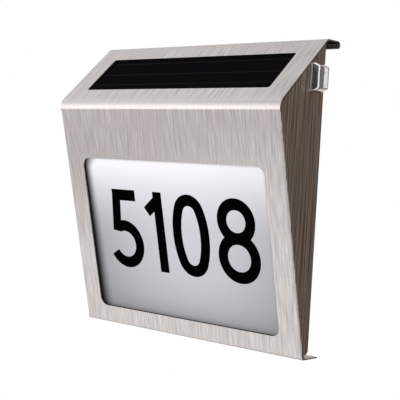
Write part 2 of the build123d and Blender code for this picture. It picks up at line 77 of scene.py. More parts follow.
# %% Camera
camera_place = Vector((441.8, -521.3, 14.25)) * mm
camera_target = Vector((38.8, -58.5, -4.2)) * mm
camera_roll = radians(3.25)
lens_data = bpy.data.cameras.new("camera")
lens_data.lens = 90.5
lens_data.sensor_width = 36
camera = bpy.data.objects.new("camera", lens_data)
bpy.context.scene.collection.objects.link(camera)
level_turn = (camera_target - camera_place).to_track_quat("-Z", "Y")
camera.location = camera_place
camera.rotation_euler = (level_turn @ Quaternion((0, 0, 1), camera_roll)).to_euler()
bpy.context.scene.camera = camera
bpy.context.scene.view_settings.view_transform = "Standard"
print("camera is", round((camera_target - camera_place).length, 3), "m from what it looks at")

# %% [markdown]
# ## Writing shaders as sums
# A finish is a graph of nodes. Wiring each Math node by hand hides the idea, so a small class wraps
# an output socket and lets Python write the sum: `1 - mask` adds a Subtract node. Every other node
# comes from one method that takes the node's type, its settings and its sockets.


# %% Sums of sockets
class Link:
    """An output socket that can stand in a sum."""

    def __init__(self, graph, socket):
        self.graph = graph
        self.socket = socket

    def maths(self, operation, *values):
        return self.graph.node("ShaderNodeMath", {"operation": operation}, dict(enumerate(values)))

    def __add__(self, other):
        return self.maths("ADD", self, other)

    def __radd__(self, other):
        return self.maths("ADD", other, self)

    def __sub__(self, other):
        return self.maths("SUBTRACT", self, other)

    def __rsub__(self, other):
        return self.maths("SUBTRACT", other, self)

    def __mul__(self, other):
        return self.maths("MULTIPLY", self, other)

    def __rmul__(self, other):
        return self.maths("MULTIPLY", other, self)

    def __gt__(self, other):
        return self.maths("GREATER_THAN", self, other)

    def __lt__(self, other):
        return self.maths("LESS_THAN", self, other)

    def __abs__(self):
        return self.maths("ABSOLUTE", self)

    def or_more(self, other):
        """The greater of two values."""
        return self.maths("MAXIMUM", self, other)

    def fraction(self):
        """What a value has beyond its whole number."""
        return self.maths("FRACT", self)


def between(share, first, second):
    """A value that goes from the first to the second as its share goes from 0 to 1."""
    return first + share * (second - first)


print("sums of sockets are ready")


# %% Nodes and their sockets
class Wiring:
    """The nodes of one material, of a lamp or of the world."""

    def __init__(self, owner):
        owner.use_nodes = True
        self.tree = owner.node_tree
        self.tree.nodes.clear()

    def node(self, kind, settings=None, sockets=None, output=0):
        """Add a node: settings first, then the values or links of its sockets."""
        node = self.tree.nodes.new(kind)
        for name, value in (settings or {}).items():
            if name == "stops":
                for stop, (place, colour) in zip(self.stops_of(node, len(value)), value):
                    stop.position = place
                    stop.color = colour
            else:
                setattr(node, name, value)
        for name, value in (sockets or {}).items():
            if isinstance(value, Link):
                self.tree.links.new(value.socket, node.inputs[name])
            else:
                node.inputs[name].default_value = value
        return Link(self, node.outputs[output]) if node.outputs else None

    def stops_of(self, node, count):
        """As many colour stops on a ramp as are wanted."""
        while len(node.color_ramp.elements) < count:
            node.color_ramp.elements.new(1.0)
        return node.color_ramp.elements

    def split(self, vector):
        """The three numbers of a vector."""
        first = self.node("ShaderNodeSeparateXYZ", sockets={0: vector})
        return [Link(self, socket) for socket in first.socket.node.outputs]

    def join(self, x, y, z):
        """A vector of three numbers."""
        return self.node("ShaderNodeCombineXYZ", sockets={0: x, 1: y, 2: z})

    def vectors(self, operation, sockets, output=0):
        """A Vector Math node."""
        return self.node("ShaderNodeVectorMath", {"operation": operation}, sockets, output)


print("nodes can be added and wired")


# %% Textures and shaders
class Graph(Wiring):
    """Wiring with the textures and shaders that the finishes share."""

    def point(self):
        """The point being shaded, in the object's own frame."""
        return self.node("ShaderNodeTexCoord", output="Object")

    def place(self):
        """X, Y and Z of the point being shaded."""
        return self.split(self.point())

    def geometry(self, output):
        """The three numbers that the Geometry node gives for the point, such as its normal."""
        return self.split(self.node("ShaderNodeNewGeometry", output=output))

    def noise(self, vector, detail=2.0, scale=1.0):
        sockets = {"Vector": vector, "Scale": scale, "Detail": detail}
        return self.node("ShaderNodeTexNoise", sockets=sockets)

    def clouds(self, per_metre, detail=2.0):
        """Soft blotches, so many to the metre."""
        return self.noise(self.point(), detail, per_metre)

    def spread(self, value, low, high, start=0.0, stop=1.0):
        """Stretch a range of values softly to another one, held at its ends."""
        sockets = {0: value, 1: low, 2: high, 3: start, 4: stop}
        return self.node("ShaderNodeMapRange", {"interpolation_type": "SMOOTHSTEP"}, sockets)

    def blend(self, share, first, second):
        """A colour between two colours, or beyond them."""
        settings = {"data_type": "RGBA", "clamp_factor": False}
        return self.node("ShaderNodeMix", settings, {0: share, 6: first, 7: second}, 2)

    def ramp(self, value, stops):
        """A colour from a row of stops."""
        return self.node("ShaderNodeValToRGB", {"stops": stops}, {0: value})

    def bump(self, height, depth, strength=1.0):
        """A relief for the Normal socket."""
        sockets = {"Height": height, "Distance": depth, "Strength": strength}
        return self.node("ShaderNodeBump", sockets=sockets)

    def surface(self, sockets, over=None, share=0.0):
        """A Principled shader on the material's output, with a share of a second one over it."""
        shader = self.node("ShaderNodeBsdfPrincipled", sockets=sockets)
        if over:
            second = self.node("ShaderNodeBsdfPrincipled", sockets=over)
            shader = self.node("ShaderNodeMixShader", sockets={0: share, 1: shader, 2: second})
        self.node("ShaderNodeOutputMaterial", sockets={"Surface": shader})


def finish(name):
    """A new material and its empty graph."""
    material = bpy.data.materials.new(name)
    return material, Graph(material)


def grey(level):
    return (level, level, level, 1.0)


print("textures and shaders are ready")

# %% [markdown]
# ## The studio
# Steel has hardly any colour of its own: it shows the room. The room here is white. One large soft
# lamp at the front left lies mirrored in the front bend, and it fades upwards, as the band of light in
# the bend does. Two small lamps on the left lift the top and the foot of the front. A brown flag behind
# on the right is what makes the right side so dark, and a weaker one behind on the left greys the ledge
# and the flange. Only mirror images show the flags: seen directly or through clear plastic, the room is
# white. The floor lies far below, as under a thing on a wall.

# %% World
WHITE = grey(1.0)
room_level = 0.62
flag_colour = (0.2, 0.156, 0.12, 1.0)
flag_direction = (0.72, 0.69, 0.0)
flag_edge = (0.42, 0.8)
small_flag_direction = (-0.57, 0.8, 0.18)
small_flag_edge = (0.8, 0.95)
small_flag_share = 0.5


def shown_rays(graph):
    """A mask of the rays that show the room as white, and one of those that a gloss has turned."""
    rays = graph.node("ShaderNodeLightPath").socket.node.outputs
    names = ("Is Camera Ray", "Is Glossy Ray", "Is Transmission Ray", "Glossy Depth")
    seen, mirrored, clear, turns = [Link(graph, rays[name]) for name in names]
    return seen.or_more(mirrored).or_more(clear), turns > 0


def behind_flag(graph, direction, mirrored):
    """1 where a flag stands, for what is mirrored."""
    unit = graph.vectors("NORMALIZE", {0: direction})
    towards = graph.vectors("DOT_PRODUCT", {0: unit, 1: flag_direction}, "Value")
    aside = graph.vectors("DOT_PRODUCT", {0: unit, 1: small_flag_direction}, "Value")
    flag = graph.spread(towards, *flag_edge)
    small_flag = graph.spread(aside, *small_flag_edge, 0.0, small_flag_share)
    return flag.or_more(small_flag) * mirrored


def make_world():
    world = bpy.data.worlds.new("studio")
    bpy.context.scene.world = world
    graph = Graph(world)
    shown, mirrored = shown_rays(graph)
    room = graph.blend(shown, grey(room_level), WHITE)
    direction = graph.node("ShaderNodeTexCoord", output="Generated")
    colour = graph.blend(behind_flag(graph, direction, mirrored), room, flag_colour)
    light = graph.node("ShaderNodeBackground", sockets={"Color": colour})
    graph.node("ShaderNodeOutputWorld", sockets={"Surface": light})


make_world()
print("room looks white and lights at", room_level)

# %% Floor
floor_drop = 0.5
floor_size = 12
floor_colour = grey(0.8)
floor_fade = (0.4, 1.6)
floor_white = (0.9, 1.0)


def make_floor():
    """Pale where the object's shadow falls, and lost in the white further out."""
    bpy.ops.mesh.primitive_plane_add(size=floor_size, location=(0, 0, cad_box[0].z - floor_drop))
    floor = bpy.context.object
    floor.name = "floor"
    material, graph = finish("pale_floor")
    shown, mirrored = shown_rays(graph)
    place = graph.point()
    away = graph.vectors("LENGTH", {0: place}, "Value")
    pale = graph.node("ShaderNodeBsdfDiffuse", sockets={"Color": floor_colour})
    colour = graph.blend(behind_flag(graph, place, mirrored), WHITE, flag_colour)
    white = graph.node("ShaderNodeEmission", sockets={"Color": colour})
    share = shown * graph.spread(away, *floor_fade, *floor_white)
    mixed = graph.node("ShaderNodeMixShader", sockets={0: share, 1: pale, 2: white})
    graph.node("ShaderNodeOutputMaterial", sockets={"Surface": mixed})
    floor.data.materials.append(material)


make_floor()
print("floor lies", floor_drop, "m below the light")

# %% Lamps
lamp_fade = (0.2, 0.85)


def fade_upwards(data):
    """Let a lamp grow dark towards its upper edge."""
    graph = Graph(data)
    height = graph.geometry("Parametric")[1]
    strength = graph.spread(height, *lamp_fade, 1.0, 0.0)
    light = graph.node("ShaderNodeEmission", sockets={"Strength": strength})
    graph.node("ShaderNodeOutputLight", sockets={"Surface": light})


def make_lamp(name, direction, distance, sides, brightness, colour=(1, 1, 1)):
    """A soft lamp that faces the light; its power follows from how bright it looks."""
    data = bpy.data.lights.new(name, "AREA")
    data.shape = "RECTANGLE"
    data.size, data.size_y = sides
    data.energy = brightness * pi * data.size * data.size_y
    data.color = colour
    lamp = bpy.data.objects.new(name, data)
    bpy.context.scene.collection.objects.link(lamp)
    lamp.location = Vector(direction).normalized() * distance
    lamp.rotation_euler = (-lamp.location).to_track_quat("-Z", "Y").to_euler()
    return data


key_lamp = make_lamp("key_lamp", direction=(-0.855, -0.931, 0.5), distance=1.36,
                     sides=(0.9, 1.5), brightness=1.45)
fade_upwards(key_lamp)
make_lamp("top_lamp", direction=(-0.515, -0.2, 0.572), distance=0.795,
          sides=(0.5, 0.5), brightness=0.3, colour=(0.85, 1.0, 1.0))
make_lamp("low_lamp", direction=(-0.57, -0.6, -0.64), distance=0.7,
          sides=(0.45, 0.45), brightness=0.44, colour=(0.9, 1.0, 0.98))
print("studio has", len(bpy.data.lights), "lamps")

# %% [markdown]
# ## Modelling by hand, in code
# By hand, one selects an edge, extrudes it, bevels it. The helpers below do the same: they make one
# piece active with nothing selected, pick parts of its mesh by where they lie, and cut by planes.

# %% Beginning and placing pieces
TINY = 0.002 * mm


def only(piece):
    """Select one piece and nothing else."""
    bpy.ops.object.select_all(action="DESELECT")
    piece.select_set(True)
    bpy.context.view_layer.objects.active = piece


def settle(piece):
    """Put a piece's place, turn and scale into its mesh."""
    only(piece)
    bpy.ops.object.transform_apply(location=True, rotation=True, scale=True)


def begin(name, add, stretch=(1, 1, 1), place=(0, 0, 0), turn=(0, 0, 0), **settings):
    """Add a primitive, stretch it to its size and put its place into its mesh."""
    bpy.ops.object.select_all(action="DESELECT")
    add(location=place, rotation=turn, **settings)
    piece = bpy.context.object
    piece.name = name
    piece.data.name = name
    piece.scale = stretch
    settle(piece)
    return piece


def place_at(piece, place, turn=(0, 0, 0)):
    """Move a piece modelled at the origin to its place."""
    piece.location = place
    piece.rotation_euler = turn
    settle(piece)


@contextmanager
def editing(piece):
    """Edit mode on one piece, with all of it selected."""
    only(piece)
    bpy.ops.object.mode_set(mode="EDIT")
    bpy.ops.mesh.select_all(action="SELECT")
    yield
    bpy.ops.object.mode_set(mode="OBJECT")


print("points nearer than", TINY / mm, "mm count as one")


# %% Picking and cutting
def pick(piece, kind, rule):
    """Select the vertices, edges or faces whose points all fit a rule on their place."""
    bpy.ops.mesh.select_mode(type=kind)
    bpy.ops.mesh.select_all(action="DESELECT")
    shape = bmesh.from_edit_mesh(piece.data)
    found = 0
    for item in {"VERT": shape.verts, "EDGE": shape.edges, "FACE": shape.faces}[kind]:
        points = [item] if kind == "VERT" else item.verts
        if all(rule(point.co) for point in points):
            item.select_set(True)
            found += 1
    shape.select_flush_mode()
    bmesh.update_edit_mesh(piece.data)
    if not found:
        raise ValueError(f"nothing to pick on {piece.name}")


def near(*pairs):
    """Whether all values lie where they should."""
    return all(abs(one - other) < TINY for one, other in pairs)


def slice_by(place, normal, drop=None, fill=False):
    """Cut what is selected by a plane, and drop what lies before it (its normal's side) or behind it."""
    bpy.ops.mesh.bisect(plane_co=place, plane_no=normal, clear_outer=drop == "before",
                        clear_inner=drop == "behind", use_fill=fill, threshold=TINY / 2)


def pull(step):
    """Extrude the selected edges or faces by a step."""
    bpy.ops.mesh.extrude_region_move(TRANSFORM_OT_translate={"value": step})


def close_up():
    """Merge what meets, and turn all faces outwards."""
    bpy.ops.mesh.select_all(action="SELECT")
    bpy.ops.mesh.remove_doubles(threshold=TINY)
    bpy.ops.mesh.normals_make_consistent(inside=False)


print("picking and cutting are ready")


# %% Finishing pieces
def apply_modifier(piece, kind, **settings):
    """Add a modifier with its settings, and apply it."""
    modifier = piece.modifiers.new(kind.lower(), kind)
    for name, value in settings.items():
        setattr(modifier, name, value)
    only(piece)
    bpy.ops.object.modifier_apply(modifier=modifier.name)


def smooth(piece, degrees=32):
    """Shade a piece smooth, but keep edges sharper than an angle."""
    only(piece)
    bpy.ops.object.shade_smooth_by_angle(angle=radians(degrees))


def round_plate(name, width, height, rounding, thickness, segments=8):
    """A plate about the origin with rounded corners, its back on Z = 0."""
    plate = begin(name, bpy.ops.mesh.primitive_plane_add, (width, height, 1), size=1)
    with editing(plate):
        bpy.ops.mesh.bevel(affect="VERTICES", offset=rounding, segments=segments)
        bpy.ops.mesh.select_all(action="SELECT")
        pull((0, 0, thickness))
        close_up()
    return plate


def cut_out(piece, cutter):
    """Take a cutter's shape out of a piece, and the cutter out of the scene."""
    apply_modifier(piece, "BOOLEAN", operation="DIFFERENCE", solver="EXACT", object=cutter)
    bpy.data.objects.remove(cutter)


print("modelling helpers are ready")

# %% [markdown]
# ## The folded housing
# The real housing starts as a flat blank: a strip for flange, front, top and lip, with a flap on each
# side of the front. Pressing folds it, so every bend is round and the sheet is equally thick all over.
# A cube with bevels would give neither. So the right half is folded here in the same order as a bare
# surface, mirrored, and only then given its thickness. All sizes are in the front panel's own
# directions: `down` it from the front corner, and `depth` behind its face.

# %% Sizes of the folded sheet
housing_low, housing_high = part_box("steel_housing")
half_width = housing_high.x
bottom_z = housing_low.z
ledge_z = housing_high.z
lean = radians(14.1)
slope = radians(42.9)
sheet = 0.8 * mm
front_bend = 8.0 * mm
small_bend = 1.6 * mm
side_fold = 1.2 * mm
seam_gap = 0.3 * mm
fold_relief = 0.8 * mm
lip_curl = 2.4 * mm
lip_return = 1.2 * mm
flange_y = -4.9 * mm
heel_depth = 5.2 * mm
side_lift = 3.4 * mm
side_corner = 2.4 * mm
toe_depth = 2.4 * mm
toe_lift = 1.8 * mm
corner_y = -58.9 * mm
corner_height = 153 * mm

corner = Vector((0, corner_y, bottom_z + corner_height))
out_front = Vector((0, -cos(lean), -sin(lean)))
down_front = Vector((0, sin(lean), -cos(lean)))
out_top = Vector((0, -sin(slope), cos(slope)))
up_top = Vector((0, cos(slope), sin(slope)))
front_turn = (pi / 2 + lean, 0, 0)
top_turn = (slope, 0, 0)
side_turn = (pi / 2, 0, pi / 2)
front_length = (corner.z - bottom_z) / cos(lean)
top_length = (ledge_z - corner.z) / sin(slope)
front_angle = pi / 2 + lean - slope
fold_start = front_bend * tan(front_angle / 2) + fold_relief
fold_stop = (corner.z - bottom_z - toe_lift) / cos(lean)
foot_y = corner.y + front_length * sin(lean)
ledge_y = corner.y + top_length * cos(slope)
side_rear = foot_y + heel_depth
side_bottom = bottom_z + side_lift


def on_front(x, down, depth=0.0):
    """A point of the front panel, or behind it."""
    return corner + Vector((x, 0, 0)) + down_front * down - out_front * depth


def on_top(x, up, depth=0.0):
    """A point of the top, or below it."""
    return corner + Vector((x, 0, 0)) + up_top * up - out_top * depth


def depth_of(point):
    """How far a point lies behind the front panel's face."""
    return (corner - point).dot(out_front)


def down_of(point):
    """How far a point lies down the front panel from the front corner."""
    return (point - corner).dot(down_front)


print("front", round(front_length / mm, 1), "mm long, top", round(top_length / mm, 1), "mm long")


# %% The strip: front, top, ledge, lip and flange
def bend(piece, y, z, radius, angle, segments):
    """Round the fold that runs along X at y and z."""
    pick(piece, "EDGE", lambda co: near((co.y, y), (co.z, z)))
    bpy.ops.mesh.bevel(affect="EDGES", offset=radius * tan(angle / 2), segments=segments)


def fold_strip():
    strip = begin("folded_housing", bpy.ops.mesh.primitive_plane_add, (half_width, front_length, 1),
                  on_front(half_width / 2, front_length / 2), front_turn, size=1)
    with editing(strip):
        pick(strip, "EDGE", lambda co: near((co.z, corner.z)))
        pull(up_top * top_length)
        pull((0, -lip_curl - ledge_y, 0))
        bpy.ops.mesh.spin(steps=14, angle=pi, center=(0, -lip_curl, ledge_z - lip_curl), axis=(1, 0, 0))
        pull((0, -lip_return, 0))
        pick(strip, "EDGE", lambda co: near((co.z, bottom_z)))
        pull((0, flange_y - foot_y, 0))
        bend(strip, corner.y, corner.z, front_bend, front_angle, segments=12)
        bend(strip, ledge_y, ledge_z, small_bend, slope, segments=5)
        bend(strip, foot_y, bottom_z, small_bend, pi / 2 - lean, segments=6)
    return strip


housing = fold_strip()
print("strip has", len(housing.data.polygons), "faces")

# %% [markdown]
# ## The side flap
# The flap is folded back along the front's right edge. A sheet can't bend two ways at one place, so the
# fold starts just below the front bend and stops just above the bottom one, and the flap's nose stands
# free under the front bend. The flap could be drawn point by point. It is cut from a plate by the
# planes that bound it instead, so it follows the lean and the slope by itself.


# %% The side flap and its rounded fold
def on_fold(point):
    """Whether a point lies beside the fold."""
    return fold_start - TINY < down_of(point) < fold_stop + TINY


def open_fold(strip):
    """Cut the strip beside the fold away, and turn the open edge back along a quarter circle."""
    fold_x = half_width - side_fold
    cuts = ((on_front(0, fold_start), down_front),
            (on_front(0, fold_stop), down_front),
            (Vector((fold_x, 0, 0)), (1, 0, 0)))
    with editing(strip):
        for place, normal in cuts:
            pick(strip, "FACE", lambda co: near((depth_of(co), 0)))
            slice_by(place, normal)
        pick(strip, "FACE", lambda co: near((depth_of(co), 0)) and on_fold(co) and co.x > fold_x - TINY)
        bpy.ops.mesh.delete(type="FACE")
        pick(strip, "EDGE", lambda co: near((depth_of(co), 0), (co.x, fold_x)) and on_fold(co))
        bpy.ops.mesh.spin(steps=6, angle=pi / 2, center=on_front(fold_x, 0, side_fold), axis=down_front)


def nose_of(plate):
    """The highest point of the flap's front edge."""
    points = [vertex.co.copy() for vertex in bmesh.from_edit_mesh(plate.data).verts]
    return min((point for point in points if near((depth_of(point), side_fold))), key=down_of)


def cut_flap():
    """The right side, cut from a plate by the planes that bound it."""
    under_top = sheet + seam_gap
    size = (side_rear - corner.y, ledge_z - bottom_z, 1)
    middle = (half_width, (corner.y + side_rear) / 2, (bottom_z + ledge_z) / 2)
    cuts = ((on_front(0, 0, side_fold), out_front, "before"),
            (on_top(0, 0, under_top), out_top, "before"),
            (on_front(0, fold_stop), down_front, "before"),
            (on_front(0, fold_start), down_front, None),
            (on_front(0, 0, toe_depth), out_front, None))
    plate = begin("side_flap", bpy.ops.mesh.primitive_plane_add, size, middle, side_turn, size=1)
    with editing(plate):
        for place, normal, drop in cuts:
            bpy.ops.mesh.select_all(action="SELECT")
            slice_by(place, normal, drop)
        pick(plate, "FACE", lambda co: depth_of(co) > toe_depth - TINY)
        slice_by((0, 0, side_bottom), (0, 0, 1))
        pick(plate, "FACE", lambda co: depth_of(co) > toe_depth - TINY and co.z < side_bottom + TINY)
        bpy.ops.mesh.delete(type="FACE")
        pick(plate, "VERT", lambda co: near((co.y, side_rear), (co.z, side_bottom)))
        bpy.ops.mesh.bevel(affect="VERTICES", offset=side_corner, segments=6)
        nose = nose_of(plate)
        nose_cut = (front_bend - under_top) * tan(front_angle / 2)
        pick(plate, "VERT", lambda co: (co - nose).length < TINY)
        bpy.ops.mesh.bevel(affect="VERTICES", offset=nose_cut, segments=6)
    return plate


open_fold(housing)
flap = cut_flap()
only(housing)
flap.select_set(True)
bpy.ops.object.join()
print("half housing has", len(housing.data.polygons), "faces")

# %% [markdown]
# ## Thickness and openings
# Solidify gives a surface the same wall all over, as a sheet has. It builds inwards only where the faces
# point out, so that is seen to first. Then the openings are punched: a rounded plate or a drill stands
# across the sheet and is taken out of it. At last a fine bevel breaks every edge, so that it catches
# the light.


# %% Both halves, thickness and large openings
def face_outwards(piece, inside):
    """Turn the faces of an open shell away from a point inside it."""
    close_up()
    outward = 0.0
    for face in bmesh.from_edit_mesh(piece.data).faces:
        outward += face.normal.dot(face.calc_center_median() - inside) * face.calc_area()
    if outward < 0:
        bpy.ops.mesh.flip_normals()


with editing(housing):
    face_outwards(housing, Vector((0, side_rear, 0)))
apply_modifier(housing, "MIRROR", use_clip=True, merge_threshold=TINY)
apply_modifier(housing, "SOLIDIFY", thickness=sheet, offset=-1.0, use_even_offset=True)

window_margin = 15.8 * mm
window_width = 2 * half_width - 2 * window_margin
window_start = 38.5 * mm
window_height = 106.9 * mm
window_corner = 6.2 * mm
solar_margin = 15.9 * mm
solar_width = 2 * half_width - 2 * solar_margin
solar_start = 14.3 * mm
solar_height = 34.5 * mm
solar_corner = 1.6 * mm
cut_start = 2.5 * sheet
cut_depth = 4 * sheet
window = round_plate("window", window_width, window_height, window_corner, cut_depth)
place_at(window, on_front(0, window_start + window_height / 2, cut_start), front_turn)
cut_out(housing, window)
opening = round_plate("solar_opening", solar_width, solar_height, solar_corner, cut_depth)
place_at(opening, on_top(0, solar_start + solar_height / 2, cut_start), top_turn)
cut_out(housing, opening)
print("housing has", len(housing.data.polygons), "faces")

# %% Small openings and broken edges
cap_low, cap_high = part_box("switch_rain_cap")
cap_middle = (cap_low + cap_high) / 2
switch_width = 7.7 * mm
switch_height = 12.5 * mm
switch_corner = 0.4 * mm
foot_low, foot_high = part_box("bottom_screws")
foot_head_radius = 2.8 * mm
foot_screw_x = foot_high.x - foot_head_radius
foot_screw_y = (foot_low.y + foot_high.y) / 2
foot_hole_radius = 1.7 * mm
edge_break = 0.1 * mm
sharp_angle = radians(50)

slot_cutter = round_plate("switch_opening", switch_width, switch_height, switch_corner, cut_depth)
place_at(slot_cutter, (half_width - cut_start, cap_middle.y, cap_middle.z), side_turn)
cut_out(housing, slot_cutter)
for x in (-foot_screw_x, foot_screw_x):
    drill = begin("screw_hole", bpy.ops.mesh.primitive_cylinder_add, place=(x, foot_screw_y, bottom_z),
                  radius=foot_hole_radius, depth=cut_depth, vertices=32)
    cut_out(housing, drill)
apply_modifier(housing, "BEVEL", width=edge_break, segments=2, limit_method="ANGLE",
               angle_limit=sharp_angle)
smooth(housing)
apply_modifier(housing, "WEIGHTED_NORMAL", keep_sharp=True)
print("housing has", len(housing.data.polygons), "faces")

# %% [markdown]
# ## Figures
# House numbers for such a light are cut from black film and stuck on the board. The ready-made font is
# too light for that, so the figures are drawn as a sign painter does, with a broad pen: a short strip
# of film is extruded along straight runs and spun round bends. Strokes that meet are united, so that
# each figure is one piece of film. The number itself is only a sample.

# %% A broad pen
stroke_width = 7.6 * mm
film_thickness = 0.15 * mm
bend_step = radians(6)


def at_tip(point, pen, ahead):
    """Whether a point lies on the open end of a stroke."""
    return near(((point - pen).dot(ahead), 0)) and (point - pen).length < stroke_width


def pen_stroke(place, heading, moves):
    """Film along moves: a run has its length in mm, a left or right bend its radius and its degrees."""
    pen = Vector((*place, 0)) * mm
    heading = radians(heading)
    strip = None
    for kind, size, *turn in moves:
        ahead = Vector((cos(heading), sin(heading), 0))
        size = size * mm
        if strip is None:
            strip = begin("stroke", bpy.ops.mesh.primitive_plane_add, (size, stroke_width, 1),
                          pen + ahead * size / 2, (0, 0, heading), size=1)
            pen = pen + ahead * size
            continue
        with editing(strip):
            pick(strip, "EDGE", lambda co: at_tip(co, pen, ahead))
            if kind == "run":
                pull(ahead * size)
                pen = pen + ahead * size
            else:
                side = 1 if kind == "left" else -1
                angle = radians(turn[0]) * side
                steps = round(abs(angle) / bend_step)
                middle = pen + Vector((-ahead.y, ahead.x, 0)) * size * side
                bpy.ops.mesh.spin(steps=steps, angle=-angle, center=middle, axis=(0, 0, 1))
                pen = middle + Quaternion((0, 0, 1), angle) @ (pen - middle)
                heading += angle
    with editing(strip):
        close_up()
        pull((0, 0, film_thickness))
        close_up()
    return strip


def cut_figure(name, strokes):
    """One figure with its lower left corner at the origin."""
    figure, *others = [pen_stroke(*stroke) for stroke in strokes]
    figure.name = name
    for other in others:
        apply_modifier(figure, "BOOLEAN", operation="UNION", solver="EXACT", object=other)
        bpy.data.objects.remove(other)
    return figure


print("pen draws strokes of", round(stroke_width / mm, 1), "mm")

# %% Stick-on figures
half_oval = [("run", 2.0), ("left", 46.07, 21.65), ("left", 9.2, 136.7), ("left", 46.07, 21.65)]
upper_half = [("run", 0.6), ("left", 11.1, 180)]
lower_half = [("run", 0.6), ("left", 12.7, 180)]
strokes_of = {
    "five": [((6.2, 51.4), 0, [("run", 21.8)]),
             ((10.0, 51.4), -96.3, [("run", 26.0)]),
             ((9.5, 28.8), 20, [("run", 0.5), ("right", 13.0, 260)])],
    "one": [((13.2, 0), 90, [("run", 55.2)]),
            ((14.4, 50.4), 218, [("run", 15.0)])],
    "zero": [((3.8, 28.6), -90, half_oval + half_oval)],
    "eight": [((16.8, 51.4), 180, upper_half + upper_half),
              ((16.8, 29.2), 180, lower_half + lower_half)],
}
figure_places = (-62.9 * mm, -27.5 * mm, -3.0 * mm, 34.9 * mm)
figures_foot = 115.1 * mm
board_depth = 2.6 * mm

figures = [cut_figure("figure_" + name, strokes) for name, strokes in strokes_of.items()]
for figure, x in zip(figures, figure_places):
    place_at(figure, on_front(x, figures_foot, board_depth), front_turn)
print("figures have", [len(figure.data.polygons) for figure in figures], "faces")

# %% [markdown]
# ## The clear cap
# A small moulded cap keeps rain off the switch. It is a thin-walled box with two sloping ends. Clear
# plastic shows every wall twice, outside and inside, so the cap is a real shell: a block cut by two
# planes, opened at its base, with softened edges, and only then hollow.

# %% Clear cap
cap_shoulder = 1.8 * mm
cap_chamfer = 2.0 * mm
cap_wall = 0.8 * mm
cap_edge = 0.83 * mm


def mould_cap():
    size = cap_high - cap_low
    cap = begin("clear_cap", bpy.ops.mesh.primitive_cube_add, size, cap_middle, size=1)
    with editing(cap):
        for end, z in ((-1, cap_low.z), (1, cap_high.z)):
            bpy.ops.mesh.select_all(action="SELECT")
            slope_normal = Vector((cap_chamfer, 0, end * (size.x - cap_shoulder)))
            slice_by((cap_low.x + cap_shoulder, 0, z), slope_normal, "before", fill=True)
        pick(cap, "FACE", lambda co: near((co.x, cap_low.x)))
        bpy.ops.mesh.delete(type="FACE")
        bpy.ops.mesh.select_mode(type="EDGE")
        bpy.ops.mesh.select_all(action="DESELECT")
        bpy.ops.mesh.select_non_manifold()
        bpy.ops.mesh.select_all(action="INVERT")
        bpy.ops.mesh.bevel(affect="EDGES", offset=cap_edge, segments=3)
        close_up()
    apply_modifier(cap, "SOLIDIFY", thickness=cap_wall, offset=-1.0, use_even_offset=True)
    smooth(cap)
    return cap


cap = mould_cap()
print("cap has", len(cap.data.polygons), "faces")

# %% [markdown]
# ## Screws
# Two short screws hold the flange to the wall bracket, two more the rear cover. Their pan heads are
# low domes with a cross recess. One screw is modelled upright at the origin, head up: a cylinder whose
# rim is rounded off, with a cross of two bars cut out of it. Then it is copied to each place. Rounding
# and recess depth are shares of the head's height, the recess's bars shares of its radius, and the
# tip's chamfer a share of the shank's radius.

# %% A pan-head screw
head_rounding = 0.7
recess_depth = 0.65
recess_length = 1.1
recess_width = 0.28
tip_chamfer = 0.3


def cut_screw(name, radius, length, head_radius, head_height):
    """An upright screw with its head's underside at the origin."""
    screw = begin(name, bpy.ops.mesh.primitive_cylinder_add, place=(0, 0, head_height / 2),
                  radius=head_radius, depth=head_height, vertices=40)
    with editing(screw):
        pick(screw, "EDGE", lambda co: near((co.z, head_height)))
        bpy.ops.mesh.bevel(affect="EDGES", offset=head_height * head_rounding, segments=6)
        pick(screw, "FACE", lambda co: near((co.z, 0)))
        bpy.ops.mesh.inset(thickness=head_radius - radius)
        pull((0, 0, -length))
        bpy.ops.mesh.bevel(affect="EDGES", offset=radius * tip_chamfer, segments=2)
        close_up()
    bar_size = (head_radius * recess_length, head_radius * recess_width, head_height * 2 * recess_depth)
    for turn in (0, pi / 2):
        bar = begin("recess", bpy.ops.mesh.primitive_cube_add, bar_size, (0, 0, head_height),
                    (0, 0, turn), size=1)
        cut_out(screw, bar)
    smooth(screw)
    return screw


def copies(piece, places, turn):
    """The piece at its first place, and copies with their own meshes at the others."""
    made = [piece]
    for number in range(2, len(places) + 1):
        twin = piece.copy()
        twin.data = piece.data.copy()
        twin.name = f"{piece.name}_{number}"
        bpy.context.scene.collection.objects.link(twin)
        made.append(twin)
    for item, place in zip(made, places):
        place_at(item, place, turn)
    return made


print("screw heads are rounded over", head_rounding, "of their height")

# %% Foot screws and cover screws
foot_head_height = 1.6 * mm
foot_screw_radius = 1.5 * mm
foot_length = foot_high.z - foot_low.z - foot_head_height
foot_places = [(x, foot_screw_y, bottom_z) for x in (-foot_screw_x, foot_screw_x)]
foot_screw = cut_screw("foot_screw", foot_screw_radius, foot_length, foot_head_radius, foot_head_height)
foot_screws = copies(foot_screw, foot_places, (pi, 0, 0))

cover_head_radius = 2.6 * mm
cover_head_height = 1.7 * mm
cover_screw_radius = 1.25 * mm
back_low, back_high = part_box("rear_cover_screws")
cover_screw_x = back_high.x - cover_head_radius
cover_screw_z = (back_low.z + back_high.z) / 2
cover_seat = back_high.y - cover_head_height
cover_length = cover_seat - back_low.y
cover_places = [(x, cover_seat, cover_screw_z) for x in (-cover_screw_x, cover_screw_x)]
cover_screw = cut_screw("cover_screw", cover_screw_radius, cover_length, cover_head_radius,
                        cover_head_height)
cover_screws = copies(cover_screw, cover_places, (-pi / 2, 0, 0))
print("screws have", len(foot_screw.data.polygons), "and", len(cover_screw.data.polygons), "faces")

